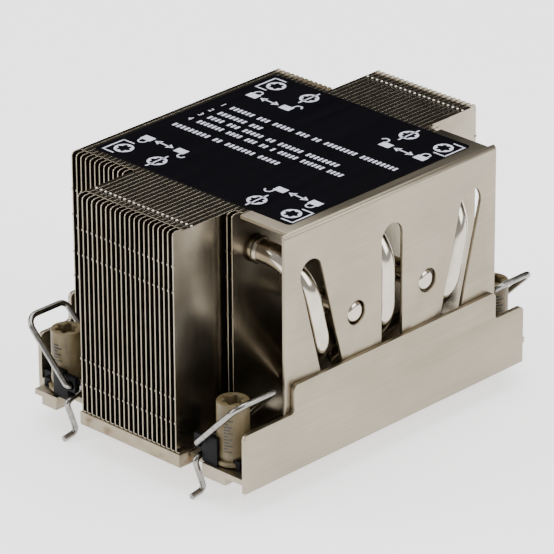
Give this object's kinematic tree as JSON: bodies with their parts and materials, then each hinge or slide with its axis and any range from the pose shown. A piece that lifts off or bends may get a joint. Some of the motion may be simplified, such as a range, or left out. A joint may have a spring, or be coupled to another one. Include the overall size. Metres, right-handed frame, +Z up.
{
  "type": "passive processor heatsink",
  "caption": "Passive server processor heatsink: zipper fin pack on a nickel base, bent heat pipes behind a slotted side cover, side brackets, captive corner nuts and swinging anti-tilt wires.",
  "frame": {"origin": "centre of the base's contact face", "axes": "+Z up from the contact face through the fins; +Y along the fins, the air's way; +X towards the side cover"},
  "size_m": [0.0792, 0.1122, 0.0704],
  "materials": {
    "nickel": "nickel-plated plate, satin",
    "fin_sheet": "nickel-plated sheet, satin",
    "pipe": "nickel-plated copper tube, satin",
    "wire": "bright drawn spring wire",
    "nut": "tan engineering plastic, satin",
    "carrier": "black moulded plastic, satin",
    "label": "near-black printed film with pale print"
  },
  "bodies": {
    "heatsink": {"base_plate": "nickel", "bracket_right": "nickel", "bracket_left": "nickel", "side_cover": "fin_sheet", "top_label": "label", "heat_pipe_1": "pipe", "heat_pipe_2": "pipe", "heat_pipe_3": "pipe", "heat_pipe_4": "pipe", "heat_pipe_5": "pipe", "fin_01": "fin_sheet", "fin_02": "fin_sheet", "fin_03": "fin_sheet", "fin_04": "fin_sheet", "fin_05": "fin_sheet", "fin_06": "fin_sheet", "fin_07": "fin_sheet", "fin_08": "fin_sheet", "fin_09": "fin_sheet", "fin_10": "fin_sheet", "fin_11": "fin_sheet", "fin_12": "fin_sheet", "fin_13": "fin_sheet", "fin_14": "fin_sheet", "fin_15": "fin_sheet", "fin_16": "fin_sheet", "fin_17": "fin_sheet", "fin_18": "fin_sheet", "fin_19": "fin_sheet", "fin_20": "fin_sheet", "fin_21": "fin_sheet", "fin_22": "fin_sheet", "fin_23": "fin_sheet", "fin_24": "fin_sheet", "fin_25": "fin_sheet", "fin_26": "fin_sheet", "fin_27": "fin_sheet", "fin_28": "fin_sheet", "fin_29": "fin_sheet", "fin_30": "fin_sheet", "fin_31": "fin_sheet", "fin_32": "fin_sheet", "fin_33": "fin_sheet", "fin_34": "fin_sheet", "fin_35": "fin_sheet", "carrier_front_right": "carrier", "carrier_back_right": "carrier", "carrier_front_left": "carrier", "carrier_back_left": "carrier"},
    "nut_front_right": {"nut_front_right": "nut"},
    "wire_front_right": {"wire_front_right": "wire"},
    "nut_back_right": {"nut_back_right": "nut"},
    "wire_back_right": {"wire_back_right": "wire"},
    "nut_front_left": {"nut_front_left": "nut"},
    "wire_front_left": {"wire_front_left": "wire"},
    "nut_back_left": {"nut_back_left": "nut"},
    "wire_back_left": {"wire_back_left": "wire"}
  },
  "joints": [
    {"name": "nut_spin_front_right", "type": "hinge", "parent": "heatsink", "child": "nut_front_right", "pos_m": [0.0294, -0.0477, 0.0039], "axis": [0, 0, 1], "continuous": true},
    {"name": "wire_lock_front_right", "type": "hinge", "parent": "heatsink", "child": "wire_front_right", "pos_m": [0.0228, -0.0477, 0.0083], "axis": [0, 1, 0], "range_deg": [0, 15]},
    {"name": "nut_spin_back_right", "type": "hinge", "parent": "heatsink", "child": "nut_back_right", "pos_m": [0.0294, 0.0477, 0.0039], "axis": [0, 0, 1], "continuous": true},
    {"name": "wire_lock_back_right", "type": "hinge", "parent": "heatsink", "child": "wire_back_right", "pos_m": [0.0228, 0.0477, 0.0083], "axis": [0, 1, 0], "range_deg": [0, 15]},
    {"name": "nut_spin_front_left", "type": "hinge", "parent": "heatsink", "child": "nut_front_left", "pos_m": [-0.0294, -0.0477, 0.0039], "axis": [0, 0, 1], "continuous": true},
    {"name": "wire_lock_front_left", "type": "hinge", "parent": "heatsink", "child": "wire_front_left", "pos_m": [-0.0228, -0.0477, 0.0083], "axis": [0, -1, 0], "range_deg": [0, 15]},
    {"name": "nut_spin_back_left", "type": "hinge", "parent": "heatsink", "child": "nut_back_left", "pos_m": [-0.0294, 0.0477, 0.0039], "axis": [0, 0, 1], "continuous": true},
    {"name": "wire_lock_back_left", "type": "hinge", "parent": "heatsink", "child": "wire_back_left", "pos_m": [-0.0228, 0.0477, 0.0083], "axis": [0, -1, 0], "range_deg": [0, 15]}
  ]
}
